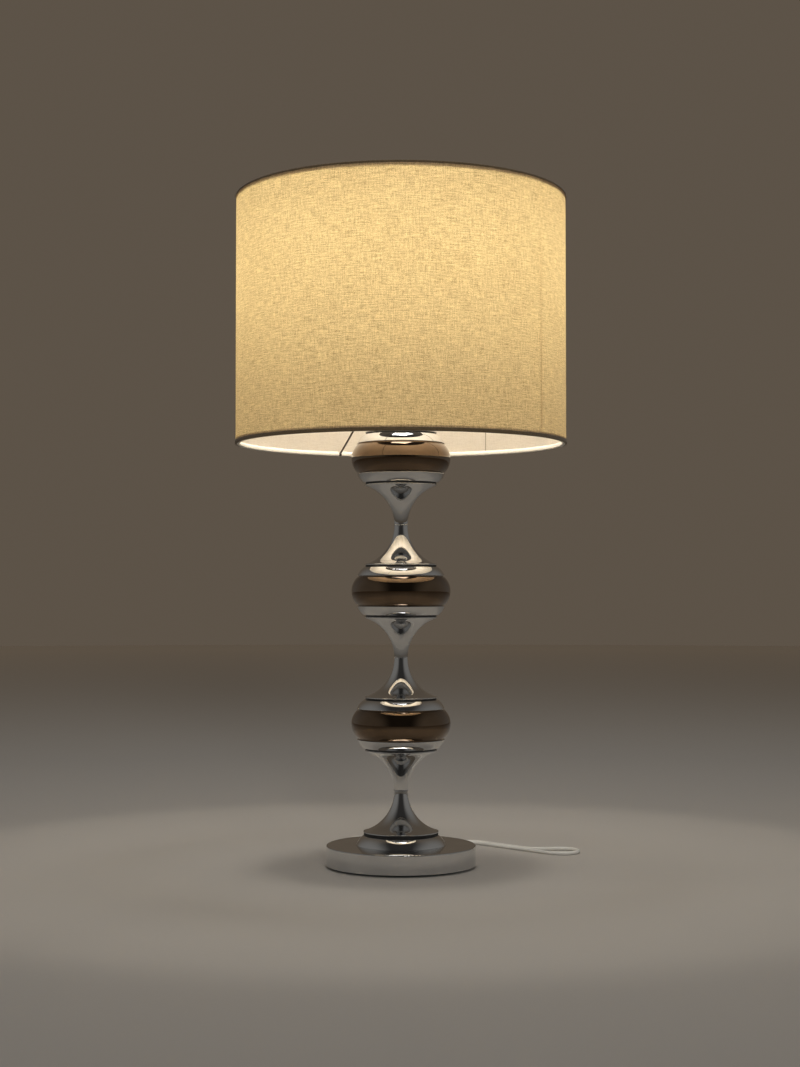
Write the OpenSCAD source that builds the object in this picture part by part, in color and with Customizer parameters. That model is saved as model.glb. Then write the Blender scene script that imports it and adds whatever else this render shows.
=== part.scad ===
// Table lamp: a stack of spun chrome trumpets and dark bronze bands on a weighted round base,
// with a linen drum shade. Millimetres, +Z up, origin at the middle of the underside.

/* [Base] */
// Diameter of the chrome base
base_d = 180; // [140:1:260]
// Height of the chrome base cover
base_h = 23.5; // [22:0.5:40]
// Sheet thickness of the base cover
cover_t = 1.2; // [0.8:0.1:2]
// Radius on the rim of the base cover
rim_round = 1.4; // [1:0.1:5]
// Thickness of the felt pad
felt_t = 2.5; // [1.5:0.1:4]
// Distance from the rim to the edge of the felt
felt_inset = 4; // [2:0.5:12]
// Gap between the weight and the cover's wall
weight_gap = 0.5; // [0.2:0.1:1]
// Diameter of the hollow under the weight
recess_d = 140; // [90:1:140]
// Depth of the hollow under the weight
recess_h = 11; // [9:0.5:13]

/* [Column] */
// Diameter of the threaded centre tube
tube_d = 10; // [8:0.5:12]
// Bore of the centre tube
tube_bore = 7; // [5.5:0.1:7.4]
// Radial clearance round the tube
tube_clear = 0.1; // [0.05:0.01:0.3]
// Wall thickness of the spun chrome pieces
spun_t = 1; // [0.6:0.1:1.4]
// Diameter of a trumpet at its neck
neck_d = 16.4; // [15:0.1:24]
// Height of the solid collar in a trumpet's neck
collar_h = 4; // [2:0.5:10]
// Height of a bead's trumpet
trumpet_h = 48.5; // [36:0.5:70]
// Diameter of a bead's trumpet at its lip
lip_d = 87; // [76:0.5:89]
// Radius of the rolled lip
lip_round = 0.9; // [0.7:0.1:1.4]
// Height of the base trumpet
base_trumpet_h = 49.5; // [36:0.5:70]
// Diameter of the base trumpet at its lip
base_lip_d = 90.8; // [80:0.2:91]
// Thickness of the gasket under the base trumpet
gasket_t = 3.5; // [2:0.1:5]
// Thickness of the gasket at the lip of a bead's trumpet
lip_gasket_t = 2; // [1:0.1:3]
// Distance from the lip's edge in to the edge of the gasket
gasket_inset = 0.7; // [0.4:0.1:0.9]
// Diameter of a neck ring
neck_ring_d = 17.8; // [16:0.1:26]
// Thickness of a neck ring
neck_ring_t = 1; // [0.6:0.1:3]

/* [Beads] */
// Diameter of a shoulder at its small end
step_d = 90; // [82:1:96]
// Diameter of a shoulder at the joint with its band
joint_d = 106; // [100:1:114]
// Height of a bead's shoulder
shoulder_h = 10.5; // [9:0.5:16]
// Radius of the shoulder's domed flank
shoulder_r = 24; // [18:1:60]
// Width of the rim turned in at a shoulder's mouth
rim_w = 2.6; // [2.2:0.1:4]
// Diameter of the base shoulder at its foot
base_foot_d = 108; // [100:1:120]
// Height of the base shoulder
base_shoulder_h = 11.5; // [9:0.5:16]
// Diameter of a band at its middle
band_d = 120; // [112:1:134]
// Height of a band from joint to joint
band_h = 37; // [28:0.5:60]
// Wall thickness of a band
band_t = 1.4; // [1:0.1:2]
// Height of the dark groove at each joint
groove_h = 1.8; // [0.8:0.1:2.4]
// Depth of the dark groove
groove_depth = 1.6; // [0.8:0.1:1.6]
// Depth of a band's spigot in the shoulder
spigot_h = 3; // [1.5:0.1:5]
// Radial clearance of the spigot
spigot_clear = 0.15; // [0.05:0.05:0.4]

/* [Fasteners] */
// Thickness of the nut under the weight
nut_t = 4.5; // [3:0.5:5]
// Width of the nut across its flats
nut_af = 14; // [13:0.5:18]
// Diameter of the washer under the weight
washer_d = 30; // [22:1:40]
// Thickness of the washer
washer_t = 1.5; // [1:0.1:2]

/* [Cord] */
// Diameter of the cord
cord_d = 4.6; // [4:0.1:5.2]
// Height of the cord's outlet
cord_z = 8; // [7.6:0.1:9]
// Direction of the outlet, anticlockwise from the right
cord_angle = 60; // [40:1:80]
// Bend radius of the lead below the tube
lead_bend = 6.5; // [6:0.1:7.5]
// Radial clearance of the lead in its bushing
lead_clear = 0.05; // [0.02:0.01:0.2]
// Diameter of the bushing where it passes the rim
bushing_d = 9; // [8:0.1:10]
// Diameter of the bushing's collar
bushing_collar_d = 13; // [12:0.1:14]
// Thickness of the bushing's collar
bushing_collar_t = 1.6; // [1:0.1:3]
// Length of the bushing's tail
bushing_tail = 20; // [14:1:24]
// Diameter of the bushing's tail at its end
bushing_end_d = 6.4; // [6:0.1:7.5]
// Length of the bushing inside the rim
bushing_root = 8; // [4:0.5:14]
// Radial clearance of the bushing in its holes
bushing_clear = 0.15; // [0.05:0.05:0.4]
// Outer radius of the coil's centre line
coil_r = 36; // [34:0.5:40]
// Number of loops in the coil
coil_turns = 6.5; // [4.5:1:6.5]
// Gap between neighbouring loops
coil_gap = 0.5; // [0.45:0.05:1]
// Width of the tie round the coil
tie_w = 5; // [3:0.5:8]
// Thickness of the tie
tie_t = 0.9; // [0.6:0.1:1.5]
// Clearance between the tie and the loops
tie_clear = 0.3; // [0.2:0.05:0.5]

/* [Plug] */
// Length of the plug's body
plug_l = 38; // [30:1:44]
// Width of the plug at its pin face
plug_w = 34; // [28:1:36]
// Thickness of the plug
plug_t = 13.6; // [12:0.2:15]
// Width of the plug at its cord end
plug_neck_w = 11; // [9:0.5:16]
// Diameter of a plug pin
pin_d = 4; // [3.5:0.1:5]
// Length of a pin outside the plug
pin_l = 19; // [15:0.5:20]
// Distance between the pins
pin_gap = 18.6; // [15:0.2:19]
// Length of a pin inside the plug
pin_root = 9; // [4:0.5:14]
// Radial clearance of a pin in the plug
pin_clear = 0.05; // [0.02:0.01:0.15]

/* [Lampholder] */
// Diameter of the lampholder
holder_d = 40; // [38:0.5:44]
// Height of the switch cap
holder_cap_h = 22; // [20:0.5:28]
// Height of the threaded boss in the switch cap
boss_h = 8; // [6:0.5:9]
// Wall thickness of the switch cap
holder_wall = 2.5; // [2:0.1:3.5]
// Diameter of the push bar
bar_d = 5; // [4:0.1:6]
// Length of the push bar
bar_l = 60; // [56:1:70]
// Travel of the push bar
bar_travel = 6; // [4:0.5:8]
// Height of the push bar's axis above the cap's underside
bar_z = 15; // [14.5:0.1:16]
// Radial clearance of the push bar
bar_clear = 0.06; // [0.02:0.01:0.1]
// Width of the contact block on the push bar
block_w = 9; // [8:0.5:12]
// Thickness of the ceramic insert's flange
insert_flange_t = 3; // [2:0.5:5]
// Height of the ceramic insert above its flange
insert_h = 6.5; // [4:0.5:10]
// Height of the outer shell
shell_h = 30.5; // [28:0.5:36]
// Bore of the outer shell
shell_bore = 29.2; // [28.8:0.1:31]
// Diameter of the shell's collar
shell_collar_d = 42; // [41:0.5:48]
// Thickness of the shell's collar
shell_collar_t = 3; // [2:0.5:4]
// Height of the collar's top above the insert flange
shell_collar_top = 8.5; // [6:0.5:10]
// Diameter of the thread that carries the shade rings
holder_thread_d = 39.4; // [36:0.2:40]
// Outer diameter of the brass thread shell
screw_shell_d = 27.8; // [27.6:0.1:28.6]
// Wall thickness of the brass thread shell
screw_shell_t = 0.5; // [0.3:0.1:0.6]
// Height of the brass thread shell
screw_shell_h = 19; // [14:0.5:22]

/* [Shade rings] */
// Outer diameter of a shade ring
shade_ring_d = 54; // [50:1:64]
// Thickness of a shade ring
shade_ring_t = 4; // [3:0.5:6]
// Number of finger notches in a shade ring
notch_n = 12; // [6:1:18]
// Radius of a finger notch
notch_r = 2; // [1:0.1:2.5]
// Clearance of a shade ring on its thread, and of the carrier between the rings
ring_clear = 0.1; // [0.05:0.01:0.2]

/* [Bulb] */
// Diameter of the bulb
bulb_d = 60; // [45:1:80]
// Length of the bulb from its contact to its top
bulb_l = 108; // [95:1:140]
// Thickness of the bulb's glass
glass_t = 0.8; // [0.5:0.1:1.2]
// Diameter of the bulb's cap
bulb_cap_d = 26.2; // [25.6:0.1:26.4]
// Length of the bulb's cap with its contact
bulb_cap_l = 26; // [25:0.5:30]
// Diameter of the bulb's contact
contact_d = 9; // [6:0.5:12]
// Height of the bulb's contact
contact_h = 2; // [1:0.5:3]
// Gap between the bulb's contact and the insert at rest
contact_gap = 0.3; // [0.1:0.1:0.6]

/* [Shade] */
// Outer diameter of the shade
shade_d = 400; // [320:5:500]
// Height of the shade
shade_h = 300; // [220:5:400]
// Thickness of the linen
fabric_t = 0.8; // [0.5:0.1:1.5]
// Thickness of the lining
lining_t = 0.6; // [0.4:0.1:1.2]
// Glue line between linen, lining, wire and binding
glue_gap = 0.05; // [0.02:0.01:0.1]
// Height of the bottom hem on the outside
binding_h = 4; // [2:0.5:8]
// Height of the top hem on the outside
top_binding_h = 2.6; // [2:0.1:8]
// Thickness of the rolled hem
binding_t = 0.4; // [0.2:0.1:0.8]
// Diameter of the wire of the shade's rings
wire_d = 3.6; // [3:0.2:5]
// Diameter of the spokes
spoke_d = 2.4; // [1.6:0.2:3.6]
// Rise of the carrier from the shade's lower edge to its hub
carrier_rise = 100; // [60:5:160]
// Width of the carrier's hub outside the shade rings
hub_rim = 5; // [4:0.5:10]
// Bore of the carrier's hub
hub_bore = 40.8; // [40.2:0.2:42]
// Thickness of the carrier's hub
hub_t = 1.5; // [1:0.1:3]
// Number of spokes
spoke_n = 3; // [3:1:4]
// Direction of the first spoke, anticlockwise from the right
spoke_angle = 114; // [0:1:119]

/* [Hidden] */
// The route of the free cord from the bushing to the coil, chosen by hand
cord_route = [
    [60, 104, 7], [63, 113, 4.6], [65, 124, 2.7], [65, 138, 2.3], [65, 152, 2.3], [65, 166, 2.3],
    [67.5, 176.5, 2.3], [74.5, 184.5, 2.3], [84.5, 188.5, 2.3], [95, 187.5, 2.3], [103.5, 181.5, 2.3],
    [122, 162.5, 2.3], [141.5, 142, 2.3], [161.5, 121.5, 2.3], [178, 104, 2.3], [186, 95.5, 2.3],
    [195, 90, 2.3], [206, 89, 2.3], [216, 93.5, 2.3], [223, 102, 2.3], [225, 112.5, 2.3],
    [221.5, 123, 2.3], [214, 130.5, 2.3], [203.5, 133.5, 2.3], [193, 131.5, 2.3], [179.5, 128.5, 2.3],
    [165.5, 131, 2.3], [154, 139, 2.3], [138, 156, 2.3], [120.5, 174, 2.3], [109, 186.5, 2.3],
    [102.5, 191.5, 2.3], [94.5, 194.5, 2.3], [86.5, 195.5, 2.3], [70, 196, 2.3], [46, 196.5, 2.3],
    [18, 196.5, 2.3], [-10, 196, 2.6]
];
// The middle of the coil on the surface
coil_pos = [-35, 160];
// The middle of the plug's cord end on the surface
plug_pos = [-10, 117];

cord_r = cord_d / 2;
base_r = base_d / 2;
tube_hole_r = tube_d / 2 + tube_clear;

// Heights of the stack, from the surface up
cover_top = felt_t + base_h;
weight_top = cover_top - cover_t;
well_top = cord_z + lead_bend + nut_t + washer_t;
nut_z = well_top - washer_t - nut_t;
gasket_z = cover_top + base_shoulder_h;
base_trumpet_z = gasket_z + gasket_t;
first_ring_z = base_trumpet_z + base_trumpet_h;
bead_h = 2 * (trumpet_h + lip_gasket_t + shoulder_h) + band_h;
pitch = bead_h + neck_ring_t;
bead_count = 3;
holder_z = first_ring_z + bead_count * pitch;
tube_top = holder_z + boss_h;

// Heights of the lampholder, the shade and the bulb
insert_z = holder_z + holder_cap_h;
shell_z = insert_z + insert_flange_t;
insert_top = shell_z + insert_h;
lower_ring_z = shell_z + shell_collar_top;
hub_z = lower_ring_z + shade_ring_t + ring_clear;
upper_ring_z = hub_z + hub_t + ring_clear;
bulb_z = insert_top + contact_gap;
shade_z = hub_z - carrier_rise;
shade_top = shade_z + shade_h;
lining_r = shade_d / 2 - fabric_t - glue_gap;
hub_d = shade_ring_d + 2 * hub_rim;
wire_ring_r = lining_r - lining_t - glue_gap - wire_d / 2;

bushing_end_r = base_r + bushing_collar_t + bushing_tail;
curve_fn = 96;
round_fn = 48;

chrome = "silver";
bronze = "#4a2c1c";
bakelite = "#26211e";
linen = "#dcbf8c";
wire_brown = "#5b5048";
hem_brown = "#8d7146";

// Centre of the arc of radius r from p to q that bulges to the right of the way from p to q
function arc_centre(p, q, r) =
    let (d = q - p, len = norm(d), rise = sqrt(r * r - len * len / 4))
    (p + q) / 2 + rise * [-d[1], d[0]] / len;

// Radius of an arc with a given rise over half a chord
function rise_radius(rise, half) = (rise * rise + half * half) / (2 * rise);

// Points of a smooth curve that pts lead from the first to the last, with n steps between neighbours
function curve_point(a, b, c, d, t) =
    (pow(1 - t, 3) * a + (3 * t * t * t - 6 * t * t + 4) * b
    + (-3 * t * t * t + 3 * t * t + 3 * t + 1) * c + t * t * t * d) / 6;
function smooth(pts, n) =
    let (
        last = len(pts) - 1,
        led = concat([2 * pts[0] - pts[1]], pts, [2 * pts[last] - pts[last - 1]])
    )
    [
        for (i = [0 : last - 1], k = [0 : n - 1])
            curve_point(led[i], led[i + 1], led[i + 2], led[i + 3], k / n),
        pts[last]
    ];

function unit(v) = v / norm(v);
function tangent(pts, i) = unit(pts[min(i + 1, len(pts) - 1)] - pts[max(i - 1, 0)]);
function cord_ring(p, along, sides) =
    let (side = unit(cross([0, 0, 1], along)), up = cross(along, side))
    [for (k = [0 : sides - 1]) p + cord_r * (cos(360 * k / sides) * side + sin(360 * k / sides) * up)];

// A tube of the cord's thickness along pts, with triangular faces and flat ends
module cord_tube(pts, sides, start_along, end_along) {
    last = len(pts) - 1;
    rings = [
        for (i = [0 : last])
            each cord_ring(pts[i], i == 0 ? start_along : i == last ? end_along : tangent(pts, i), sides)
    ];
    walls = [
        for (i = [0 : last - 1], k = [0 : sides - 1])
            let (a = i * sides + k, b = i * sides + (k + 1) % sides)
            each [[a, a + sides, b], [b, a + sides, b + sides]]
    ];
    caps = [
        for (k = [1 : sides - 2])
            each [[0, k, k + 1], [last * sides, last * sides + k + 1, last * sides + k]]
    ];
    polyhedron(rings, concat(walls, caps), convexity = 10);
}

// The coil spirals in, climbs one layer in the half turn where it reverses, and spirals out again.
// It lies on its tie, which is on the surface.
coil_pitch = cord_d + coil_gap;
coil_lift = tie_t + tie_clear;
coil_steps = coil_turns * 24;
coil_inner_r = coil_r - coil_pitch * coil_turns / 2;
coil_start_angle = 90;
function coil_point(i) =
    let (
        turn = i / 24 - coil_turns / 2,
        angle = coil_start_angle + 360 * i / 24,
        r = coil_inner_r + coil_pitch * abs(turn),
        layer = min(max(turn / 0.5 + 0.5, 0), 1)
    )
    [coil_pos[0] + r * cos(angle), coil_pos[1] + r * sin(angle), coil_lift + cord_r + layer * coil_pitch];
coil_in = [-1, 0, 0];
coil_out = [-sin(coil_start_angle + 360 * coil_turns), cos(coil_start_angle + 360 * coil_turns), 0];
coil_start = coil_point(0) - cord_d * coil_in;
coil_end = coil_point(coil_steps) + cord_d * coil_out;
coil_path = concat([coil_start], [for (i = [0 : coil_steps]) coil_point(i)], [coil_end]);
coil_gaps = [
    for (i = [0 : coil_steps - 12], k = [i + 12 : coil_steps]) norm(coil_point(i) - coil_point(k)) - cord_d
];
echo(str("least gap between the coil's loops ", min(coil_gaps)));

outlet = [cos(cord_angle), sin(cord_angle), 0];
run_start = bushing_end_r * outlet + [0, 0, cord_z];
run_path = smooth(concat([run_start], cord_route, [coil_start]), 2);

plug_x = [1, 0, 0];
plug_end = [plug_pos[0], plug_pos[1], plug_t / 2];
tail_path = smooth([coil_end, coil_end + cord_d * coil_out, plug_end - cord_d * plug_x, plug_end], 3);

module at_outlet() rotate([0, 0, cord_angle]) translate([0, 0, cord_z]) rotate([0, 90, 0]) children();

module revolve() rotate_extrude($fn = curve_fn) children();

module disc(d, t, hole_d) {
    difference() {
        cylinder(d = d, h = t, $fn = curve_fn);
        translate([0, 0, -1]) cylinder(d = hole_d, h = t + 2, $fn = curve_fn);
    }
}

module flip(h) translate([0, 0, h]) mirror([0, 0, 1]) children();

// Base
module felt_pad() {
    color("#1d1b1a") cylinder(r = base_r - felt_inset, h = felt_t, $fn = curve_fn);
}

module cover_outline(r, h) {
    square([r, h - rim_round]);
    square([r - rim_round, h]);
    translate([r - rim_round, h - rim_round]) circle(rim_round, $fn = round_fn);
}

module base_cover() {
    color(chrome) difference() {
        translate([0, 0, felt_t]) revolve() difference() {
            cover_outline(base_r, base_h);
            translate([-1, -1]) square([base_r - cover_t + 1, base_h - cover_t + 1]);
            translate([-1, -1]) square([tube_hole_r + 1, base_h + 2]);
        }
        at_outlet() cylinder(d = bushing_d + 2 * bushing_clear, h = base_r + 1, $fn = round_fn);
    }
}

module base_weight() {
    weight_r = base_r - cover_t - weight_gap;
    color("dimgray") difference() {
        translate([0, 0, felt_t]) cylinder(r = weight_r, h = weight_top - felt_t, $fn = curve_fn);
        translate([0, 0, felt_t - 1]) cylinder(d = recess_d, h = recess_h + 1, $fn = curve_fn);
        translate([0, 0, felt_t]) cylinder(d = washer_d + 8, h = well_top - felt_t, $fn = curve_fn);
        cylinder(r = tube_hole_r, h = cover_top, $fn = round_fn);
        at_outlet() cylinder(d = bushing_d + 2 * bushing_clear, h = base_r, $fn = round_fn);
    }
}

module bottom_washer() {
    color("gray") translate([0, 0, well_top - washer_t]) disc(washer_d, washer_t, 2 * tube_hole_r);
}

module bottom_nut() {
    color("gray") translate([0, 0, nut_z]) difference() {
        cylinder(d = nut_af / cos(30), h = nut_t, $fn = 6);
        translate([0, 0, -1]) cylinder(r = tube_hole_r, h = nut_t + 2, $fn = round_fn);
    }
}

module centre_tube() {
    color("lightgray") translate([0, 0, nut_z]) disc(tube_d, tube_top - nut_z, tube_bore);
}

// Column: one spun trumpet with its neck down at zero and its lip up
module trumpet(h, lip) {
    lip_r = lip / 2 - lip_round;
    neck_r = neck_d / 2;
    flare_r = rise_radius(lip_r - neck_r, h - 2 * lip_round);
    color(chrome) revolve() {
        difference() {
            translate([tube_hole_r, 0]) square([lip_r - tube_hole_r, h]);
            translate([neck_r + flare_r, 0]) circle(flare_r, $fn = curve_fn);
            difference() {
                translate([0, collar_h]) square([lip_r + 1, h]);
                translate([neck_r + flare_r, 0]) circle(flare_r + spun_t, $fn = curve_fn);
            }
        }
        translate([lip_r, h - lip_round]) circle(lip_round, $fn = round_fn);
    }
}

// One spun shoulder with its plate down at zero and its turned-in mouth up
module shoulder(mouth_d, h) {
    c = arc_centre([step_d / 2, 0], [mouth_d / 2, h], shoulder_r);
    color(chrome) revolve() difference() {
        intersection() {
            domed_disc(c, shoulder_r, h);
            translate([tube_hole_r, 0]) square([mouth_d, h]);
        }
        intersection() {
            domed_disc(c, shoulder_r - spun_t, h);
            translate([0, spun_t]) square([mouth_d, h - 2 * spun_t]);
        }
        translate([0, h - 1.5 * spun_t]) square([mouth_d / 2 - rim_w, h]);
    }
}

// Half the section of a disc whose edge is an arc of radius r about c
module domed_disc(c, r, h) {
    translate(c) circle(r, $fn = curve_fn);
    square([c[0], h]);
}

// One band about zero: a barrel with a grooved spigot at each end
module band_ring() {
    half = band_h / 2 - groove_h;
    barrel_r = rise_radius((band_d - joint_d) / 2, half);
    barrel_c = band_d / 2 - barrel_r;
    spigot_r = joint_d / 2 - rim_w - spigot_clear;
    inner_r = spigot_r - 2 * band_t;
    color(bronze) revolve() {
        difference() {
            intersection() {
                translate([barrel_c, 0]) circle(barrel_r, $fn = curve_fn);
                translate([inner_r, -half]) square([band_d, 2 * half]);
            }
            intersection() {
                translate([barrel_c, 0]) circle(barrel_r - band_t, $fn = curve_fn);
                translate([0, -half + 2 * band_t]) square([band_d, 2 * half - 4 * band_t]);
            }
        }
        for (side = [0, 1]) mirror([0, side]) translate([inner_r, half - 1]) {
            square([joint_d / 2 - groove_depth - inner_r, groove_h + 1]);
            square([spigot_r - inner_r, groove_h + 1 + spigot_h]);
        }
    }
}

// Height of the underside of bead k, counted from 1 at the base
function bead_z(k) = first_ring_z + neck_ring_t + (k - 1) * pitch;

module base_shoulder() {
    translate([0, 0, cover_top]) flip(base_shoulder_h) shoulder(base_foot_d, base_shoulder_h);
}
module gasket(lip, t) {
    d = min(lip - 2 * gasket_inset, step_d);
    color("#151312") disc(d, t, 2 * tube_hole_r);
}
module base_gasket() translate([0, 0, gasket_z]) gasket(base_lip_d, gasket_t);
module base_trumpet() {
    translate([0, 0, base_trumpet_z]) flip(base_trumpet_h) trumpet(base_trumpet_h, base_lip_d);
}
module neck_ring(k) {
    edge_r = neck_ring_t / 2;
    color(chrome) translate([0, 0, bead_z(k) - edge_r]) revolve() {
        translate([tube_hole_r, -edge_r]) square([neck_ring_d / 2 - edge_r - tube_hole_r, neck_ring_t]);
        translate([neck_ring_d / 2 - edge_r, 0]) circle(edge_r, $fn = round_fn);
    }
}
module lower_trumpet(k) translate([0, 0, bead_z(k)]) trumpet(trumpet_h, lip_d);
module lower_gasket(k) translate([0, 0, bead_z(k) + trumpet_h]) gasket(lip_d, lip_gasket_t);
module lower_shoulder(k) {
    translate([0, 0, bead_z(k) + trumpet_h + lip_gasket_t]) shoulder(joint_d, shoulder_h);
}
module band(k) translate([0, 0, bead_z(k) + bead_h / 2]) band_ring();
module upper_shoulder(k) {
    joint_z = bead_z(k) + (bead_h + band_h) / 2;
    translate([0, 0, joint_z]) flip(shoulder_h) shoulder(joint_d, shoulder_h);
}
module upper_gasket(k) {
    translate([0, 0, bead_z(k) + bead_h - trumpet_h - lip_gasket_t]) gasket(lip_d, lip_gasket_t);
}
module upper_trumpet(k) {
    translate([0, 0, bead_z(k) + bead_h - trumpet_h]) flip(trumpet_h) trumpet(trumpet_h, lip_d);
}

// Cord
module inner_lead() {
    bend_z = cord_z + lead_bend;
    run = bushing_end_r - lead_bend;
    rise = tube_top + 1 - bend_z;
    color("white") rotate([0, 0, cord_angle]) {
        translate([lead_bend, 0, cord_z]) rotate([0, 90, 0])
            cylinder(r = cord_r, h = run, $fn = round_fn);
        translate([lead_bend, 0, bend_z]) rotate([90, 180, 0]) rotate_extrude(angle = 90, $fn = curve_fn)
            translate([lead_bend, 0]) circle(cord_r, $fn = round_fn);
        translate([0, 0, bend_z]) cylinder(r = cord_r, h = rise, $fn = round_fn);
    }
}

module cord_bushing() {
    color("whitesmoke") at_outlet() difference() {
        translate([0, 0, base_r]) {
            translate([0, 0, -bushing_root]) cylinder(d = bushing_d, h = bushing_root + 1, $fn = round_fn);
            cylinder(d = bushing_collar_d, h = bushing_collar_t, $fn = round_fn);
            translate([0, 0, bushing_collar_t])
                cylinder(d1 = bushing_d, d2 = bushing_end_d, h = bushing_tail, $fn = round_fn);
        }
        cylinder(r = cord_r + lead_clear, h = bushing_end_r + 1, $fn = round_fn);
    }
}

module cord_run() color("white") cord_tube(run_path, 8, outlet, coil_in);
module cord_coil() color("white") cord_tube(coil_path, 6, coil_in, coil_out);
module cord_tail() color("white") cord_tube(tail_path, 8, coil_out, plug_x);

module rounded_bar(w, h, r) {
    translate([r, 0]) square([w - 2 * r, h]);
    translate([0, r]) square([w, h - 2 * r]);
    for (x = [r, w - r], y = [r, h - r]) translate([x, y]) circle(r, $fn = round_fn);
}

// The tie goes round the loops on the right of the coil, where as many lie in both layers
module cord_tie() {
    loops = floor(coil_turns / 2 - 0.5);
    first_r = coil_inner_r + coil_pitch / 2 - cord_r - tie_clear;
    inside_w = loops * coil_pitch + cord_d + 2 * tie_clear;
    inside_h = coil_pitch + cord_d + 2 * tie_clear;
    color("#2b2b2b") translate([coil_pos[0] + first_r, coil_pos[1] + tie_w / 2, tie_t]) rotate([90, 0, 0])
        linear_extrude(tie_w) difference() {
            translate([-tie_t, -tie_t]) rounded_bar(inside_w + 2 * tie_t, inside_h + 2 * tie_t, 2 * tie_t);
            rounded_bar(inside_w, inside_h, tie_t);
        }
}

module plug_section(w, t) {
    hull() for (side = [-1, 1]) translate([0, side * (w - t) / 2, 0]) rotate([0, 90, 0])
        cylinder(d = t, h = 1, $fn = 32);
}

module at_plug() translate(plug_end) children();
module at_pins() at_plug() for (side = [-1, 1]) translate([plug_l - pin_root, side * pin_gap / 2, 0])
    rotate([0, 90, 0]) children();

module plug_body() {
    shoulder_x = plug_l / 3;
    color("white") difference() {
        at_plug() {
            hull() {
                plug_section(plug_neck_w, plug_neck_w - 1);
                translate([shoulder_x, 0, 0]) plug_section(plug_w * 0.74, plug_t);
            }
            hull() {
                translate([shoulder_x, 0, 0]) plug_section(plug_w * 0.74, plug_t);
                translate([plug_l - 1, 0, 0]) plug_section(plug_w, plug_t);
            }
        }
        at_pins() cylinder(r = pin_d / 2 + pin_clear, h = pin_root + 1, $fn = round_fn);
    }
}

module plug_pins() {
    color("#b9b4a4") at_pins() {
        cylinder(d = pin_d, h = pin_root + pin_l - pin_d / 2, $fn = round_fn);
        translate([0, 0, pin_root + pin_l - pin_d / 2]) sphere(d = pin_d, $fn = round_fn);
    }
}

// Lampholder
module bar_axis() translate([0, 0, holder_z + bar_z]) rotate([0, 90, 0]) children();

module holder_cap() {
    cavity_r = holder_d / 2 - holder_wall;
    color(bakelite) difference() {
        translate([0, 0, holder_z]) {
            cylinder(d1 = holder_d - 8, d2 = holder_d, h = 4, $fn = curve_fn);
            translate([0, 0, 4]) cylinder(d = holder_d, h = holder_cap_h - 4, $fn = curve_fn);
        }
        translate([0, 0, holder_z + boss_h]) cylinder(r = cavity_r, h = holder_cap_h, $fn = curve_fn);
        translate([0, 0, holder_z - 1]) cylinder(r = tube_hole_r, h = holder_cap_h, $fn = round_fn);
        translate([-holder_d, 0, 0]) bar_axis()
            cylinder(d = bar_d + 2 * bar_clear, h = 2 * holder_d, $fn = round_fn);
    }
}

// The bar rests pushed in from the left, with the lamp switched on
module switch_bar() {
    color("#e8e0d0") translate([bar_travel / 2, 0, 0]) {
        translate([-bar_l / 2, 0, 0]) bar_axis() cylinder(d = bar_d, h = bar_l, $fn = round_fn);
        translate([0, 0, holder_z + bar_z]) cube([block_w, block_w, bar_d + 2], center = true);
    }
}

module holder_insert() {
    color("ivory") translate([0, 0, insert_z]) {
        cylinder(d = holder_d - 2 * ring_clear, h = insert_flange_t, $fn = curve_fn);
        cylinder(d = shell_bore - 2 * ring_clear, h = insert_flange_t + insert_h, $fn = curve_fn);
    }
}

module screw_shell() {
    color("goldenrod") translate([0, 0, insert_top])
        disc(screw_shell_d, screw_shell_h, screw_shell_d - 2 * screw_shell_t);
}

module holder_shell() {
    color(bakelite) difference() {
        translate([0, 0, shell_z]) {
            cylinder(d = holder_thread_d, h = shell_h, $fn = curve_fn);
            cylinder(d = holder_d, h = shell_collar_top, $fn = curve_fn);
            translate([0, 0, shell_collar_top - shell_collar_t])
                cylinder(d = shell_collar_d, h = shell_collar_t, $fn = curve_fn);
        }
        translate([0, 0, shell_z - 1]) cylinder(d = shell_bore, h = shell_h + 2, $fn = curve_fn);
    }
}

module shade_ring() {
    color(bakelite) difference() {
        disc(shade_ring_d, shade_ring_t, holder_thread_d + 2 * ring_clear);
        for (k = [0 : notch_n - 1]) rotate([0, 0, 360 * k / notch_n])
            translate([shade_ring_d / 2 + notch_r / 2, 0, -1])
                cylinder(r = notch_r, h = shade_ring_t + 2, $fn = 24);
    }
}

module lower_shade_ring() translate([0, 0, lower_ring_z]) shade_ring();
module upper_shade_ring() translate([0, 0, upper_ring_z]) shade_ring();

// Bulb
module bulb_cap() {
    color("lightgray") translate([0, 0, bulb_z]) {
        cylinder(d = contact_d, h = contact_h, $fn = round_fn);
        translate([0, 0, contact_h]) cylinder(d = bulb_cap_d, h = bulb_cap_l - contact_h, $fn = curve_fn);
    }
}

// The bulb's outline, smaller all round by a given amount: a globe on a cone that touches it
module bulb_outline(less) {
    r = bulb_d / 2 - less;
    neck_r = bulb_cap_d / 2 - less;
    foot = bulb_z + bulb_cap_l;
    middle = bulb_z + bulb_l - bulb_d / 2;
    lean = atan2(neck_r, middle - foot) + asin(r / norm([neck_r, middle - foot])) - 90;
    intersection() {
        translate([0, middle]) circle(r, $fn = curve_fn);
        translate([0, middle - r]) square([r, 2 * r]);
    }
    polygon([[0, foot], [neck_r, foot], [r * cos(lean), middle + r * sin(lean)], [0, middle]]);
}

module bulb_glass() {
    color("white") revolve() difference() {
        bulb_outline(0);
        bulb_outline(glass_t);
    }
}

// Shade
module wire_ring(z, d) {
    translate([0, 0, z]) revolve() translate([wire_ring_r, 0]) circle(d = d, $fn = round_fn);
}

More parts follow.
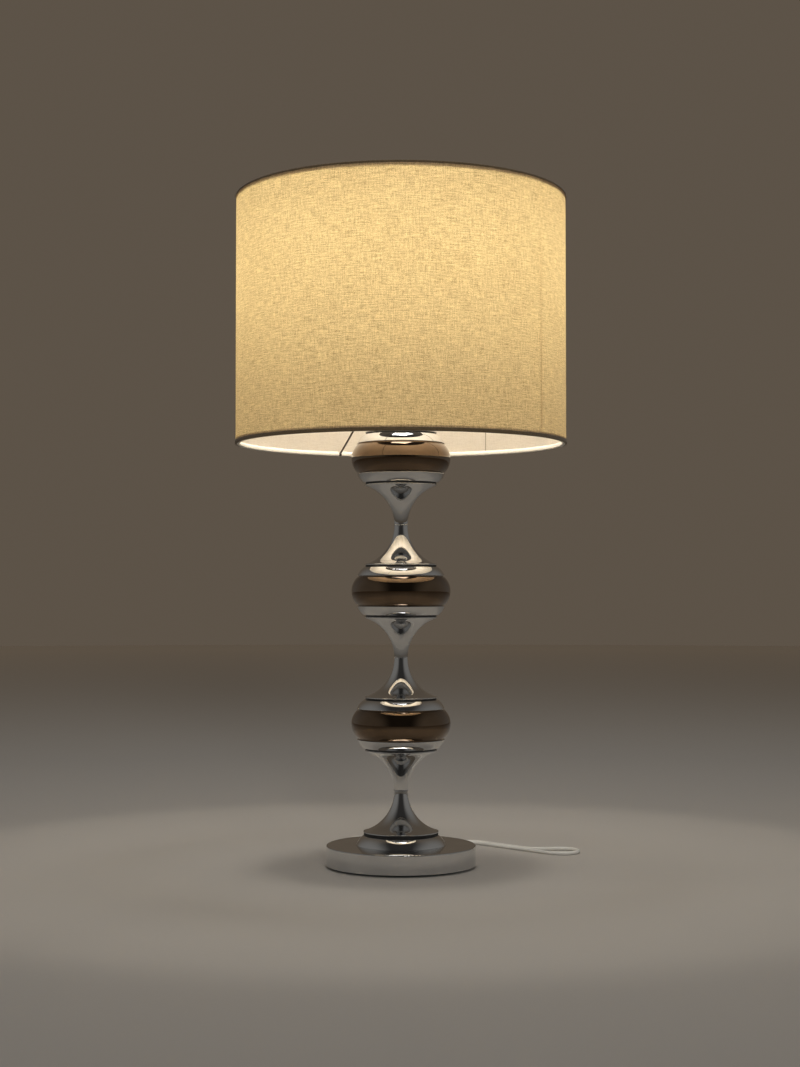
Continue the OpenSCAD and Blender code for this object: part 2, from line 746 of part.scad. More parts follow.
// A spoke of diameter d runs from the underside of the hub to the lower ring
module spoke(d) {
    foot = [wire_ring_r, shade_z + binding_t + wire_d / 2];
    head = [hub_d / 2 - spoke_d / 2, hub_z - spoke_d / 4];
    run = foot - head;
    translate([head[0], 0, head[1]]) rotate([0, 90 - atan2(run[1], run[0]), 0])
        cylinder(d = d, h = norm(run), $fn = round_fn);
}
module at_spokes() for (k = [0 : spoke_n - 1]) rotate([0, 0, spoke_angle + 360 * k / spoke_n]) children();

module shade_hub() color(wire_brown) translate([0, 0, hub_z]) disc(hub_d, hub_t, hub_bore);

module shade_spokes() {
    color(wire_brown) at_spokes()
        difference() {
            spoke(spoke_d);
            translate([0, 0, hub_z]) cylinder(d = hub_d + spoke_d, h = spoke_d, $fn = curve_fn);
            cylinder(d = shade_ring_d + 2 * ring_clear, h = hub_z, $fn = curve_fn);
            wire_ring(shade_z + binding_t + wire_d / 2, wire_d + 2 * glue_gap);
        }
}

module shade_bottom_ring() color(wire_brown) wire_ring(shade_z + binding_t + wire_d / 2, wire_d);
module shade_top_ring() color(wire_brown) wire_ring(shade_top - binding_t - wire_d / 2, wire_d);

module drum_wall(outer_r, t) {
    translate([0, 0, shade_z]) disc(2 * outer_r, shade_h, 2 * (outer_r - t));
}

module shade_fabric() color(linen) drum_wall(shade_d / 2, fabric_t);
module shade_lining() color("ivory") drum_wall(lining_r, lining_t);

// The hem is rolled over the edge of the linen, round its lining and the wire ring
module edge_binding(h) {
    outer_r = shade_d / 2 + glue_gap + binding_t;
    inner_r = wire_ring_r - wire_d / 2 - glue_gap - binding_t;
    color(hem_brown) translate([0, 0, -binding_t]) revolve() {
        translate([outer_r - binding_t, 0]) square([binding_t, h]);
        translate([inner_r, 0]) square([outer_r - inner_r, binding_t]);
        translate([inner_r, 0]) square([binding_t, wire_d + 2 * binding_t]);
    }
}

// The bottom hem is notched where the spokes pass it
module bottom_binding() {
    difference() {
        translate([0, 0, shade_z]) edge_binding(binding_h);
        at_spokes() spoke(spoke_d + 2 * glue_gap);
    }
}
module top_binding() translate([0, 0, shade_top]) mirror([0, 0, 1]) edge_binding(top_binding_h);

felt_pad();
base_cover();
base_weight();
bottom_washer();
bottom_nut();
centre_tube();
base_shoulder();
base_gasket();
base_trumpet();
for (k = [1 : bead_count]) {
    neck_ring(k);
    lower_trumpet(k);
    lower_gasket(k);
    lower_shoulder(k);
    band(k);
    upper_shoulder(k);
    upper_gasket(k);
    upper_trumpet(k);
}
inner_lead();
cord_bushing();
cord_run();
cord_coil();
cord_tie();
cord_tail();
plug_body();
plug_pins();
holder_cap();
switch_bar();
holder_insert();
screw_shell();
holder_shell();
lower_shade_ring();
upper_shade_ring();
bulb_cap();
bulb_glass();
shade_hub();
shade_spokes();
shade_bottom_ring();
shade_top_ring();
shade_fabric();
shade_lining();
top_binding();
bottom_binding();
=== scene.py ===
import math
import random

import bpy
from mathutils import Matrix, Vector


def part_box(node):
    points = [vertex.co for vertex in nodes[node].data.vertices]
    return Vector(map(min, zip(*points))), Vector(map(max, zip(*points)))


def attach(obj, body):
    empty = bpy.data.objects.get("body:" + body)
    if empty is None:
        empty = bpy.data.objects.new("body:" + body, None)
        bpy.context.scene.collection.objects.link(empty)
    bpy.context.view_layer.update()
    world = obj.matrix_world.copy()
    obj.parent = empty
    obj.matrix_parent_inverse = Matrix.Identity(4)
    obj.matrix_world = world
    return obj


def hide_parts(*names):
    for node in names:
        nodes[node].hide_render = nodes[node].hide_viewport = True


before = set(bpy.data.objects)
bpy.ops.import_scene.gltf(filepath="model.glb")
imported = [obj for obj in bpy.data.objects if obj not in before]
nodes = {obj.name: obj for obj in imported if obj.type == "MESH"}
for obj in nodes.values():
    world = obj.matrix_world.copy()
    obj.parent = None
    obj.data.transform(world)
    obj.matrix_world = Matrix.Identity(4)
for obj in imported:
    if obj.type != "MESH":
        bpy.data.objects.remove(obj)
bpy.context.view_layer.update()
MM = 0.001
FULL_TURN = 2 * math.pi

# Camera at the photograph's viewing angle

CAMERA_AT = (-0.0012, -2.178, 0.331)
CAMERA_TILT = math.radians(91.83)
CAMERA_LENS = 60.73
SENSOR_WIDTH = 36

camera = bpy.data.objects.new("camera", bpy.data.cameras.new("camera"))
bpy.context.collection.objects.link(camera)
camera.location = CAMERA_AT
camera.rotation_euler = (CAMERA_TILT, 0, 0)
camera.data.sensor_width = SENSOR_WIDTH
camera.data.lens = CAMERA_LENS
bpy.context.scene.camera = camera
bpy.context.scene.view_settings.view_transform = "Standard"

# Helpers for materials; the scale of a noise is in grains per metre

EDGE_ROUND = 0.0008
EDGE_SAMPLES = 8


def add_node(tree, kind, inputs=(), **settings):
    """A shader node with its settings; each input is a value or another node's socket."""
    made = tree.nodes.new("ShaderNode" + kind)
    for key, value in settings.items():
        setattr(made, key, value)
    for key, value in dict(inputs).items():
        if isinstance(value, bpy.types.NodeSocket):
            tree.links.new(value, made.inputs[key])
        else:
            made.inputs[key].default_value = value
    return made


class Shader:
    """One procedural material, built node by node."""

    def __init__(self, name):
        self.material = bpy.data.materials.new(name)
        self.material.use_nodes = True
        self.tree = self.material.node_tree
        self.tree.nodes.clear()
        self.out = self.tree.nodes.new("ShaderNodeOutputMaterial")

    def node(self, kind, inputs=(), **settings):
        return add_node(self.tree, kind, inputs, **settings)

    def place(self):
        return self.node("TexCoord").outputs["Object"]

    def cloth_place(self):
        return self.node("UVMap", uv_map="cloth").outputs["UV"]

    def split(self, vector):
        return self.node("SeparateXYZ", {"Vector": vector}).outputs

    def length(self, vector):
        return self.node("VectorMath", {0: vector}, operation="LENGTH").outputs["Value"]

    def noise(self, vector, scale=1.0, detail=3, roughness=0.5):
        return self.node(
            "TexNoise",
            {"Vector": vector, "Scale": scale, "Detail": detail, "Roughness": roughness},
        ).outputs["Fac"]

    def threads(self, cloth, along, up, detail):
        """Noise stretched over the cloth, with so many grains per metre along it and up it."""
        stretched = self.node("Mapping", {"Vector": cloth, "Scale": (along, up, 1)})
        return self.noise(stretched.outputs[0], detail=detail)

    def math(self, operation, a, b=0.0):
        return self.node("Math", {0: a, 1: b}, operation=operation).outputs[0]

    def spread(self, value, low, high, to_low, to_high):
        limits = {"From Min": low, "From Max": high, "To Min": to_low, "To Max": to_high}
        return self.node("MapRange", {"Value": value, **limits}).outputs["Result"]

    def ramp(self, value, low, dark, high, light):
        made = self.node("ValToRGB", {"Fac": value})
        first, last = made.color_ramp.elements
        first.position, first.color = low, (*dark, 1)
        last.position, last.color = high, (*light, 1)
        return made.outputs["Color"]

    def bump(self, height, distance, edge=0.0):
        inputs = {"Height": height, "Distance": distance}
        if edge:
            inputs["Normal"] = self.node("Bevel", {"Radius": edge}, samples=EDGE_SAMPLES).outputs[0]
        return self.node("Bump", inputs).outputs["Normal"]

    def turned(self, around, along):
        """Lathe coordinates: distance from the axis, height and a little of the angle."""
        at = self.split(self.place())
        flat = self.node("CombineXYZ", {"X": at["X"], "Y": at["Y"]})
        far = self.length(flat.outputs[0])
        turn = self.math("ARCTAN2", at["Y"], at["X"])
        return self.node(
            "CombineXYZ",
            {
                "X": self.math("MULTIPLY", far, along),
                "Y": self.math("MULTIPLY", at["Z"], along),
                "Z": self.math("MULTIPLY", turn, around),
            },
        ).outputs[0]

    def principled(self, **inputs):
        names = {key.replace("_", " "): value for key, value in inputs.items()}
        return self.node("BsdfPrincipled", names)

    def show(self, shader):
        self.tree.links.new(shader.outputs[0], self.out.inputs["Surface"])
        return self.material


def polished_metal(name, dark, light, smooth, rough, marks, pits=0.0, **more):
    """Metal with faint lathe marks, a slightly uneven polish and, where asked, small dull pits."""
    s = Shader(name)
    place = s.place()
    lathe = s.noise(s.turned(around=0.4, along=1400), detail=2)
    cloud = s.noise(place, scale=60, detail=4)
    mixed = s.math("ADD", cloud, s.math("MULTIPLY", lathe, 0.5))
    roughness = s.spread(mixed, 0.5, 1.0, smooth, rough)
    if pits:
        speck = s.spread(s.noise(place, scale=900, detail=2), 0.74, 0.80, 0, 1)
        roughness = s.math("ADD", roughness, s.math("MULTIPLY", speck, pits))
    return s.show(
        s.principled(
            Base_Color=s.ramp(s.noise(place, scale=25), 0.35, dark, 0.7, light),
            Metallic=1.0,
            Roughness=roughness,
            Normal=s.bump(lathe, marks, EDGE_ROUND),
            **more,
        )
    )


def moulded(name, dark, light, smooth, rough, grain, scale=400):
    """Plastic, ceramic, iron or rubber: fine grain, uneven gloss and a slight cloud in the colour."""
    s = Shader(name)
    place = s.place()
    return s.show(
        s.principled(
            Base_Color=s.ramp(s.noise(place, scale=40, detail=4), 0.3, dark, 0.75, light),
            Roughness=s.spread(s.noise(place, scale=90, detail=4), 0.3, 0.7, smooth, rough),
            Normal=s.bump(s.noise(place, scale), grain),
        )
    )


def dress(piece, material):
    """Gives a CAD node or a piece its one material."""
    piece.data.materials.clear()
    piece.data.materials.append(material)


# Helpers for meshes


def add_object(name, data):
    made = bpy.data.objects.new(name, data)
    bpy.context.collection.objects.link(made)
    return made


def grid_mesh(name, rows, uv=None, close_rows=False, close_ends=False, cut=None):
    """A smooth mesh through rows of points; uv gives the cloth coordinates of row i, point k, and
    the faces for which cut(i, k) is true are left out."""
    count = len(rows[0])
    points = [p for row in rows for p in row]
    faces = []
    for i in range(len(rows) if close_ends else len(rows) - 1):
        for k in range(count if close_rows else count - 1):
            if cut and cut(i, k):
                continue
            a, b = i * count + k, i * count + (k + 1) % count
            n = (i + 1) % len(rows) * count
            faces.append((a, b, n + (k + 1) % count, n + k))
    mesh = bpy.data.meshes.new(name)
    mesh.from_pydata(points, [], faces)
    if uv:
        layer = mesh.uv_layers.new(name="cloth")
        for loop in mesh.loops:
            layer.data[loop.index].uv = uv(*divmod(loop.vertex_index, count))
    mesh.polygons.foreach_set("use_smooth", [True] * len(mesh.polygons))
    mesh.update()
    return add_object(name, mesh)


def polar(radius, angle, height):
    return (radius * math.cos(angle), radius * math.sin(angle), height)


# Cord, in mm: the run that shows, its turn at the right, the way back behind the base, the tied coil
# and the tail to the plug

CORD_R = 2.3
CORD_STEPS = 6
CORD_ROUNDNESS = 5
COIL_AT = (-35, 160)
COIL_R = 36
COIL_TURNS = 6.5
COIL_PITCH = 5.1
COIL_LIFT = 1.2
COIL_STEPS = 48
COIL_CLIMB = 0.5
PLUG_END = (-10, 117, 6.8)
EXIT = polar(radius=111.6, angle=math.radians(60), height=8)
ROUTE = [
    (60, 104, 7), (63, 113, 4.6), (65, 124, 2.7), (65, 138, 2.3), (65, 152, 2.3), (65, 166, 2.3),
    (67.5, 176.5, 2.3), (74.5, 184.5, 2.3), (84.5, 188.5, 2.3), (95, 187.5, 2.3),
    (103.5, 181.5, 2.3), (122, 162.5, 2.3), (141.5, 142, 2.3), (161.5, 121.5, 2.3),
    (178, 104, 2.3), (186, 95.5, 2.3), (195, 90, 2.3), (206, 89, 2.3), (216, 93.5, 2.3),
    (223, 102, 2.3), (225, 112.5, 2.3), (221.5, 123, 2.3), (214, 130.5, 2.3),
    (203.5, 133.5, 2.3), (193, 131.5, 2.3), (179.5, 128.5, 2.3), (165.5, 131, 2.3),
    (154, 139, 2.3), (138, 156, 2.3), (120.5, 174, 2.3), (109, 186.5, 2.3),
    (102.5, 191.5, 2.3), (94.5, 194.5, 2.3), (86.5, 195.5, 2.3), (70, 196, 2.3),
    (46, 196.5, 2.3), (18, 196.5, 2.3), (-10, 196, 2.6),
]


def smooth_path(points):
    """Points of a smooth curve that the given ones lead from the first to the last."""
    before = tuple(2 * p - q for p, q in zip(points[0], points[1]))
    after = tuple(2 * p - q for p, q in zip(points[-1], points[-2]))
    led = [before, *points, after]
    path = []
    for i in range(len(points) - 1):
        for k in range(CORD_STEPS):
            t = k / CORD_STEPS
            weights = (
                (1 - t) ** 3,
                3 * t**3 - 6 * t**2 + 4,
                -3 * t**3 + 3 * t**2 + 3 * t + 1,
                t**3,
            )
            path.append(
                tuple(
                    sum(w * v for w, v in zip(weights, along)) / 6
                    for along in zip(*led[i : i + 4])
                )
            )
    return path + [points[-1]]


def coil_path():
    """The coil spirals in, climbs one layer where it reverses, and spirals out again."""
    inner = COIL_R - COIL_PITCH * COIL_TURNS / 2
    path = []
    for i in range(int(COIL_TURNS * COIL_STEPS) + 1):
        turn = i / COIL_STEPS - COIL_TURNS / 2
        angle = math.radians(90 + 360 * i / COIL_STEPS)
        radius = inner + COIL_PITCH * abs(turn)
        layer = min(max(turn / COIL_CLIMB + 0.5, 0), 1)
        x, y, z = polar(radius, angle, COIL_LIFT + CORD_R + layer * COIL_PITCH)
        path.append((COIL_AT[0] + x, COIL_AT[1] + y, z))
    return path


def beside(point, step):
    """The point that lies a step further along X."""
    return (point[0] + step, point[1], point[2])


coil = coil_path()
coil_start = beside(coil[0], 2 * CORD_R)
coil_end = beside(coil[-1], 2 * CORD_R)
run = smooth_path([EXIT, *ROUTE, coil_start])
tail = smooth_path(
    [coil_end, beside(coil_end, 2 * CORD_R), beside(PLUG_END, -2 * CORD_R), PLUG_END]
)
cord_points = [tuple(v * MM for v in p) for p in [*run, *coil, *tail]]

cord_curve = bpy.data.curves.new("mains_cord", "CURVE")
cord_curve.dimensions = "3D"
cord_curve.bevel_depth = 1.0
cord_curve.bevel_resolution = CORD_ROUNDNESS
cord_curve.use_fill_caps = True
spline = cord_curve.splines.new("POLY")
spline.points.add(len(cord_points) - 1)
for point, place in zip(spline.points, cord_points):
    point.co = (*place, 1)
    point.radius = CORD_R * MM
spline.use_smooth = True
cord = add_object("mains_cord", cord_curve)
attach(cord, "lamp")
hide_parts("cord_run", "cord_coil", "cord_tail")

# Shade: a strip of linen and one of lining, each wrapped once round, and hems rolled over the wires

SHADE_R = 0.2
SHADE_Z, SHADE_TOP = 0.5081, 0.8081
SHADE_H = SHADE_TOP - SHADE_Z
LINEN_SEAM = math.radians(-36.5)
LINING_SEAM = math.radians(55.6)
SPOKE_ANGLES = [math.radians(a) for a in (114, 234, 354)]
STRIP_COLUMNS, STRIP_ROWS = 300, 24
STRIP_SWAY = 0.00008


def wrapped_strip(name, first_r, last_r, seam, lap_low, lap_high):
    """A strip wrapped once round from the seam; its end, cut a little askew, laps its start."""
    draw = random.Random(name)
    sway = [draw.uniform(-1, 1) * STRIP_SWAY for _ in range(STRIP_COLUMNS + 1)]
    grid = []
    for j in range(STRIP_ROWS + 1):
        z = SHADE_Z + SHADE_H * j / STRIP_ROWS
        belly = math.sin(math.pi * j / STRIP_ROWS)
        turn = FULL_TURN + (lap_low + (lap_high - lap_low) * j / STRIP_ROWS) / first_r
        row = []
        for i in range(STRIP_COLUMNS + 1):
            radius = first_r + (last_r - first_r) * i / STRIP_COLUMNS + sway[i] * belly
            row.append(polar(radius, seam + turn * i / STRIP_COLUMNS, z))
        grid.append(row)
    width = FULL_TURN * first_r + (lap_low + lap_high) / 2
    made = grid_mesh(
        name, grid, uv=lambda j, i: (width * i / STRIP_COLUMNS, SHADE_H * j / STRIP_ROWS)
    )
    return made, width


linen, linen_w = wrapped_strip(
    "linen_drum", first_r=0.1994, last_r=0.19995, seam=LINEN_SEAM, lap_low=0.0022, lap_high=0.0004
)
lining, lining_w = wrapped_strip(
    "lining_drum", first_r=0.19895, last_r=0.19875, seam=LINING_SEAM, lap_low=0.003, lap_high=0.003
)

# Points of the hem's section inside the outer flap: radius, and height from the shade's edge, in mm

HEM_INSIDE = [
    (200.2, -0.15), (199.4, -0.4), (198.0, -0.42), (196.5, -0.4), (195.2, -0.1), (194.6, 0.9),
    (194.5, 2.6), (194.8, 3.9), (195.9, 4.5), (197.5, 4.9), (198.68, 5.8),
]
HEM_SLIT_FROM = 4
HEM_LOOSE_FROM = 3.5
HEM_TIGHT_R = 195
HEM_COLUMNS = 720
HEM_WAVES = 9


def hem_section(flap):
    outside = [(200.05, flap + 0.15), (200.3, flap + 0.1), (200.44, flap), (200.46, flap / 2)]
    return [*outside, (200.45, 0.5), *HEM_INSIDE]


def rolled_hem(name, edge, up, flap, notches=()):
    """The linen's margin rolled round the wire ring, uneven along its edge, slit at the notches."""
    draw = random.Random(name)
    waves = [
        (draw.randint(5, 70), draw.uniform(0, 6.28), draw.uniform(0.02, 0.07))
        for _ in range(HEM_WAVES)
    ]
    section = hem_section(flap)
    steps = [0.0]
    for (r, h), (before_r, before_h) in zip(section[1:], section):
        steps.append(steps[-1] + math.hypot(r - before_r, h - before_h) * MM)
    grid = []
    for r, h in section:
        row = []
        for i in range(HEM_COLUMNS):
            angle = FULL_TURN * i / HEM_COLUMNS
            wave = sum(a * math.sin(n * angle + p) for n, p, a in waves)
            loose = wave if h >= flap or h > HEM_LOOSE_FROM else 0
            tight = 0.5 * wave if r < HEM_TIGHT_R else 0
            row.append(polar((r + tight) * MM, angle, edge + up * (h + loose) * MM))
        grid.append(row)
    inner = len(section) - len(HEM_INSIDE) + HEM_SLIT_FROM
    slits = {round(a / FULL_TURN * HEM_COLUMNS) % HEM_COLUMNS for a in notches}
    slits = {(k + d) % HEM_COLUMNS for k in slits for d in (-1, 0)}
    length = FULL_TURN * SHADE_R
    return grid_mesh(
        name,
        grid,
        uv=lambda j, i: (length * i / HEM_COLUMNS, steps[j]),
        close_rows=True,
        cut=lambda j, k: j >= inner and k in slits,
    )


bottom_hem = rolled_hem("bottom_hem", SHADE_Z, up=1, flap=3.5, notches=SPOKE_ANGLES)
top_hem = rolled_hem("top_hem", SHADE_TOP, up=-1, flap=2.2)

for piece, node, slot in [
    (linen, "shade_fabric", "linen"),
    (lining, "shade_lining", "lining"),
    (bottom_hem, "bottom_binding", "binding"),
    (top_hem, "top_binding", "binding"),
]:
    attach(piece, "shade")
    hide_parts(node)

# Cloth materials

LINEN_YARN = 0.0007
HEM_YARN = 0.0006
# Warm tint of the painted light that the shade cloth emits, though it is no lamp
PAINTED_GLOW_TINT = (1.0, 0.5, 0.18, 1)
CLOTH_SHEEN = {"Sheen_Weight": 0.15, "Sheen_Roughness": 0.6}


def woven(s, cloth):
    """Thread pattern of a plain linen weave: short uneven yarns both ways, slubs and dark flecks."""
    weft = s.threads(cloth, 60, 820, detail=2)
    short = s.threads(cloth, 240, 860, detail=3)
    warp = s.threads(cloth, 850, 75, detail=2)
    grain = s.threads(cloth, 1050, 1250, detail=2)
    patch = s.threads(cloth, 9, 14, detail=3)
    slub = s.spread(s.threads(cloth, 70, 640, detail=2), 0.6, 0.72, 0, 1)
    fleck = s.spread(s.threads(cloth, 420, 700, detail=1), 0.68, 0.76, 0, 1)
    pattern = s.math("MULTIPLY", weft, 0.23)
    for part, weight in [
        (short, 0.18), (warp, 0.19), (grain, 0.4), (patch, 0.03), (slub, -0.05), (fleck, -0.1),
    ]:
        pattern = s.math("ADD", pattern, s.math("MULTIPLY", part, weight))
    return s.math("SUBTRACT", pattern, 0.015)


def yarn_relief(s, cloth, pitch):
    """Height of single yarns passing over and under each other."""
    at = s.split(cloth)
    across = s.math("SINE", s.math("MULTIPLY", at["X"], math.pi / pitch))
    up = s.math("SINE", s.math("MULTIPLY", at["Y"], math.pi / pitch))
    return s.math("MULTIPLY", across, up)


def lit_cloth(name, low, high, look, light, through, relief, glow, cut_end=0.0):
    """Cloth with the colours of look on its face, which lets a share of the bulb's light through its
    threads in the colours of light and emits a faint painted light of its own. Where cut_end is the
    strip's width, its lapped end has a thin line of painted shade."""
    s = Shader(name)
    cloth = s.cloth_place()
    threads = woven(s, cloth)
    if cut_end:
        # Painted shade: a thin darker line just inside the lapped end of the strip
        dull = s.spread(s.split(cloth)["X"], cut_end - 0.0016, cut_end - 0.0012, 0, 0.9)
        threads = s.math("SUBTRACT", threads, dull)
    yarns = s.math("MULTIPLY", yarn_relief(s, cloth, LINEN_YARN), 0.25)
    normal = s.bump(s.math("ADD", threads, yarns), relief)
    # The face emits a faint painted light of its own, besides the light that the back lets through
    front = s.principled(
        Base_Color=s.ramp(threads, low, look[0], high, look[1]),
        Roughness=0.9,
        Normal=normal,
        Emission_Color=PAINTED_GLOW_TINT,
        Emission_Strength=glow,
        **CLOTH_SHEEN,
    )
    back = s.node(
        "BsdfTranslucent",
        {"Color": s.ramp(threads, low, light[0], high, light[1]), "Normal": normal},
    )
    return s.show(s.node("MixShader", {0: through, 1: front.outputs[0], 2: back.outputs[0]}))


linen_weave = lit_cloth(
    "linen_weave",
    low=0.385,
    high=0.575,
    look=[(0.32, 0.24, 0.145), (0.76, 0.61, 0.42)],
    light=[(0.34, 0.24, 0.102), (0.98, 0.845, 0.475)],
    through=0.48,
    relief=0.00035,
    glow=0.09,
)
lining_laminate = lit_cloth(
    "lining_laminate",
    low=0.0,
    high=0.55,
    look=[(0.52, 0.48, 0.42), (0.92, 0.90, 0.85)],
    light=[(0.50, 0.45, 0.36), (0.98, 0.95, 0.88)],
    through=0.61,
    relief=0.0001,
    glow=0.01,
    cut_end=lining_w,
)


def hem_cloth(name):
    """Linen on the hem's outside painted dark as the shade of the unlit roll, and its pale laminated
    face on the side that is rolled in.
    """
    s = Shader(name)
    cloth = s.cloth_place()
    yarns = s.math("MULTIPLY", yarn_relief(s, cloth, HEM_YARN), 0.3)
    rib = s.math("ADD", yarns, s.threads(cloth, 420, 700, detail=3))
    # The roll's outside is painted shade: the same linen coloured dark; the rolled-in side keeps the
    # pale laminate colour
    colour = s.node(
        "MixRGB",
        {
            "Fac": s.spread(s.split(cloth)["Y"], 0.0058, 0.0064, 0, 1),
            "Color1": s.ramp(rib, 0.25, (0.10, 0.066, 0.032), 0.8, (0.26, 0.19, 0.105)),
            "Color2": s.ramp(rib, 0.2, (0.70, 0.66, 0.58), 0.8, (0.80, 0.77, 0.70)),
        },
    )
    return s.show(
        s.principled(
            Base_Color=colour.outputs[0],
            Roughness=0.88,
            Normal=s.bump(rib, 0.0002),
            **CLOTH_SHEEN,
        )
    )


hem_weave_and_painted_shade = hem_cloth("hem_weave_and_painted_shade")
dress(linen, linen_weave)
dress(lining, lining_laminate)
dress(bottom_hem, hem_weave_and_painted_shade)
dress(top_hem, hem_weave_and_painted_shade)

# Felt disc under the base, with a soft rounded edge, in mm

FELT_COLUMNS = 180
FELT_BORE = 0.4
FELT_INSET = 0.1
FELT_EDGE = 0.8
FELT_BEND = 0.15
FELT_LIP = 0.5


def felt_disc(name, radius, bottom, top):
    draw = random.Random(name)
    soft = [draw.uniform(-0.25, 0.1) for _ in range(FELT_COLUMNS)]
    lower = [
        (FELT_BORE, bottom),
        (radius * 0.5, bottom),
        (radius - FELT_EDGE, bottom),
        (radius - FELT_BEND, bottom + FELT_LIP),
    ]
    upper = [
        (radius - FELT_BEND, top - FELT_LIP),
        (radius - FELT_EDGE, top),
        (radius * 0.5, top),
        (FELT_BORE, top),
    ]
    grid = []
    for r, z in [*lower, (radius, bottom + (top - bottom) / 2), *upper]:
        rim = 1 if r > radius - 1 else 0
        row = []
        for i in range(FELT_COLUMNS):
            angle = FULL_TURN * i / FELT_COLUMNS
            row.append(polar((r + rim * soft[i]) * MM, angle, z * MM))
        grid.append(row)
    grid.reverse()
    return grid_mesh(name, grid, close_rows=True, close_ends=True)


def felt_fibres(name):
    s = Shader(name)
    fuzz = s.noise(s.place(), scale=1500, detail=5, roughness=0.7)
    return s.show(
        s.principled(
            Base_Color=s.ramp(fuzz, 0.3, (0.012, 0.016, 0.013), 0.75, (0.05, 0.062, 0.052)),
            Roughness=0.95,
            Sheen_Weight=0.5,
            Normal=s.bump(fuzz, 0.0004),
        )
    )


felt_low, felt_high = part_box("felt_pad")
felt_r = felt_high[0] / MM - FELT_INSET
felt = felt_disc("felt_disc", felt_r, felt_low[2] / MM, felt_high[2] / MM)
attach(felt, "lamp")
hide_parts("felt_pad")
dress(felt, felt_fibres("felt_fibres"))

# Materials of the CAD pieces: dark and light colour, least and most roughness, depth of the marks

chrome = polished_metal(
    "chrome_plate", (0.60, 0.61, 0.62), (0.68, 0.685, 0.69), 0.035, 0.075, 0.000004, pits=0.25
)
bronze = polished_metal(
    "bronze_lacquer", (0.135, 0.09, 0.054), (0.19, 0.129, 0.08), 0.04, 0.08, 0.000006, pits=0.12,
    Coat_Weight=0.35, Coat_Roughness=0.06,
)
zinc = polished_metal("zinc_plate", (0.42, 0.42, 0.40), (0.58, 0.57, 0.54), 0.28, 0.48, 0.00002)
nickel = polished_metal("nickel_pins", (0.55, 0.53, 0.48), (0.66, 0.64, 0.58), 0.14, 0.28, 0.00001)
brass = polished_metal("brass_shell", (0.55, 0.38, 0.15), (0.70, 0.52, 0.24), 0.2, 0.36, 0.00002)
wire = polished_metal("steel_wire", (0.10, 0.088, 0.072), (0.19, 0.17, 0.145), 0.3, 0.5, 0.00002)
iron = moulded(
    "cast_iron", (0.022, 0.021, 0.02), (0.06, 0.057, 0.053), 0.55, 0.8, 0.0003, scale=260
)
rubber = moulded("black_rubber", (0.012, 0.012, 0.012), (0.03, 0.03, 0.03), 0.55, 0.75, 0.00006)
pvc = moulded(
    "white_pvc", (0.74, 0.72, 0.66), (0.82, 0.80, 0.75), 0.32, 0.46, 0.00003, scale=700
)
bakelite = moulded(
    "brown_bakelite", (0.018, 0.011, 0.007), (0.045, 0.027, 0.017), 0.18, 0.34, 0.00002
)
ceramic = moulded(
    "glazed_ceramic", (0.78, 0.76, 0.70), (0.86, 0.85, 0.80), 0.12, 0.26, 0.00003, scale=200
)
push_bar = moulded("ivory_plastic", (0.72, 0.68, 0.56), (0.80, 0.77, 0.66), 0.25, 0.4, 0.00002)
strap = moulded(
    "strap_web", (0.02, 0.02, 0.02), (0.05, 0.05, 0.05), 0.6, 0.8, 0.00012, scale=900
)


def opal_glass(name):
    """Frosted glass that glows."""
    s = Shader(name)
    frost = s.noise(s.place(), scale=500, detail=4)
    return s.show(
        s.principled(
            Base_Color=s.ramp(frost, 0.2, (0.88, 0.86, 0.80), 0.8, (0.95, 0.94, 0.90)),
            Roughness=s.spread(frost, 0.3, 0.7, 0.28, 0.4),
            Emission_Color=(1.0, 0.86, 0.62, 1),
            Emission_Strength=3.0,
        )
    )


finish_of_slot = {
    "chrome": chrome, "bronze": bronze, "iron": iron, "zinc": zinc, "gasket": rubber, "cord": pvc,
    "tie": strap, "plug": pvc, "pin_metal": nickel, "bakelite": bakelite, "switch_white": push_bar,
    "porcelain": ceramic, "brass": brass, "bulb": opal_glass("opal_glass"), "wire": wire,
}
for item in nodes.values():
    slot = item.material_slots[0].material.name.split(".")[0]
    if slot in finish_of_slot:
        dress(item, finish_of_slot[slot])
dress(cord, pvc)

# The lit bulb: a warm light just over the glass, so that the shade is brightest in its upper half

BULB_LIGHT_AT = (0, 0, 0.728)

bulb_light = bpy.data.lights.new("bulb_glow", "POINT")
bulb_light.energy = 4.15
bulb_light.color = (1.0, 0.92, 0.79)
bulb_light.shadow_soft_size = 0.022
add_object("bulb_glow", bulb_light).location = BULB_LIGHT_AT
nodes["bulb_glass"].visible_shadow = False

# Stage: a wide pale floor whose far parts take the tone of the world behind it

FLOOR_COLUMNS = 96
FLOOR_RINGS = [0.0, 0.3, 0.6, 1.0, 2.0, 4.0, 9.0]
NEAR_FLOOR, FAR_FLOOR = 1.5, 8.0
NEAR_TONE, FAR_TONE = (0.49, 0.46, 0.42), (0.94, 0.80, 0.64)


def round_floor(name):
    angles = [FULL_TURN * i / FLOOR_COLUMNS for i in range(FLOOR_COLUMNS)]
    rows = [[polar(r, angle, 0.0) for angle in angles] for r in FLOOR_RINGS]
    return grid_mesh(name, rows, close_rows=True)


def studio_paper(name):
    s = Shader(name)
    far = s.spread(s.length(s.place()), NEAR_FLOOR, FAR_FLOOR, 0, 1)
    tone = s.ramp(far, 0.0, NEAR_TONE, 1.0, FAR_TONE)
    return s.show(s.principled(Base_Color=tone, Roughness=0.9))


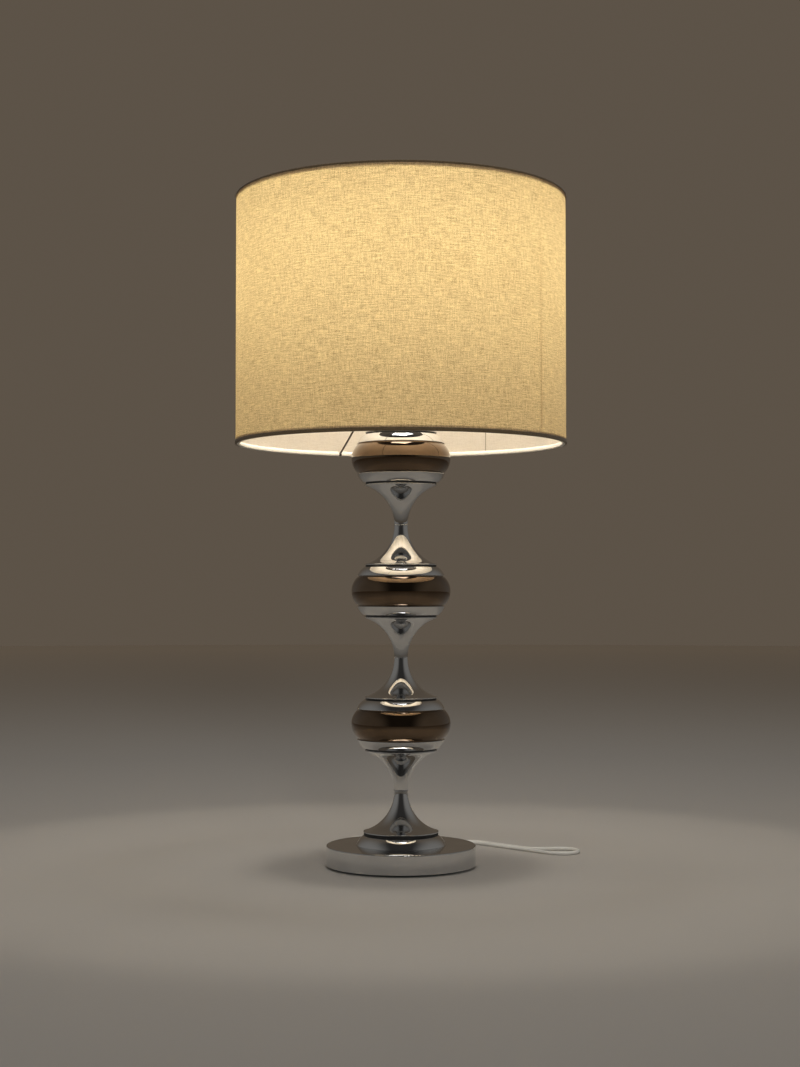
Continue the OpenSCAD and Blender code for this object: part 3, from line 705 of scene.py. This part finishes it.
stage = round_floor("studio_floor")
dress(stage, studio_paper("studio_paper"))

# Lamps: a soft one overhead and a far one in front, which the metal doesn't mirror


def aimed_light(name, kind, location, target, energy):
    """A lamp turned to its target; it lights the scene but isn't seen itself."""
    light = bpy.data.lights.new(name, kind)
    light.energy = energy
    made = add_object(name, light)
    made.visible_camera = False
    made.location = location
    x, y, z = (t - p for t, p in zip(target, location))
    made.rotation_euler = (
        math.atan2(math.hypot(x, y), -z),
        0,
        math.atan2(y, x) - math.pi / 2,
    )
    return made


top_light = aimed_light(
    "top_light", "AREA", location=(0.05, 0.1, 3.0), target=(0, 0, 0.4), energy=22
)
top_light.data.size = 1.0
front_light = aimed_light(
    "front_light", "SPOT", location=(0.8, -6.0, 1.6), target=(0, 0, 0.62), energy=330
)
front_light.data.spot_size = math.radians(26)
front_light.data.spot_blend = 1.0
front_light.data.shadow_soft_size = 0.5
front_light.visible_glossy = False

# World: soft light from both sides, a dim tone behind the lamp and a darker one in front of it

FRONT_TONE = (0.03, 0.028, 0.026, 1)
BACK_TONE = (0.108, 0.086, 0.064, 1)
SIDE_TONE = (0.19, 0.183, 0.172, 1)

world = bpy.data.worlds.new("studio")
world.use_nodes = True
sky = world.node_tree


def sky_blend(way, low, high, first, last):
    """A soft change from the first tone to the last as the direction's part goes from low to high."""
    share = add_node(
        sky,
        "MapRange",
        {"Value": way, "From Min": low, "From Max": high},
        interpolation_type="SMOOTHSTEP",
    )
    tones = {"Fac": share.outputs[0], "Color1": first, "Color2": last}
    return add_node(sky, "MixRGB", tones).outputs[0]


ways = add_node(sky, "SeparateXYZ", {0: add_node(sky, "TexCoord").outputs["Generated"]}).outputs
sideways = add_node(sky, "Math", {0: ways["X"]}, operation="ABSOLUTE").outputs[0]
depth_tone = sky_blend(ways["Y"], -0.3, 0.3, FRONT_TONE, BACK_TONE)
sky_tone = sky_blend(sideways, 0.35, 0.9, depth_tone, SIDE_TONE)
sky.links.new(sky_tone, sky.nodes["Background"].inputs["Color"])
bpy.context.scene.world = world
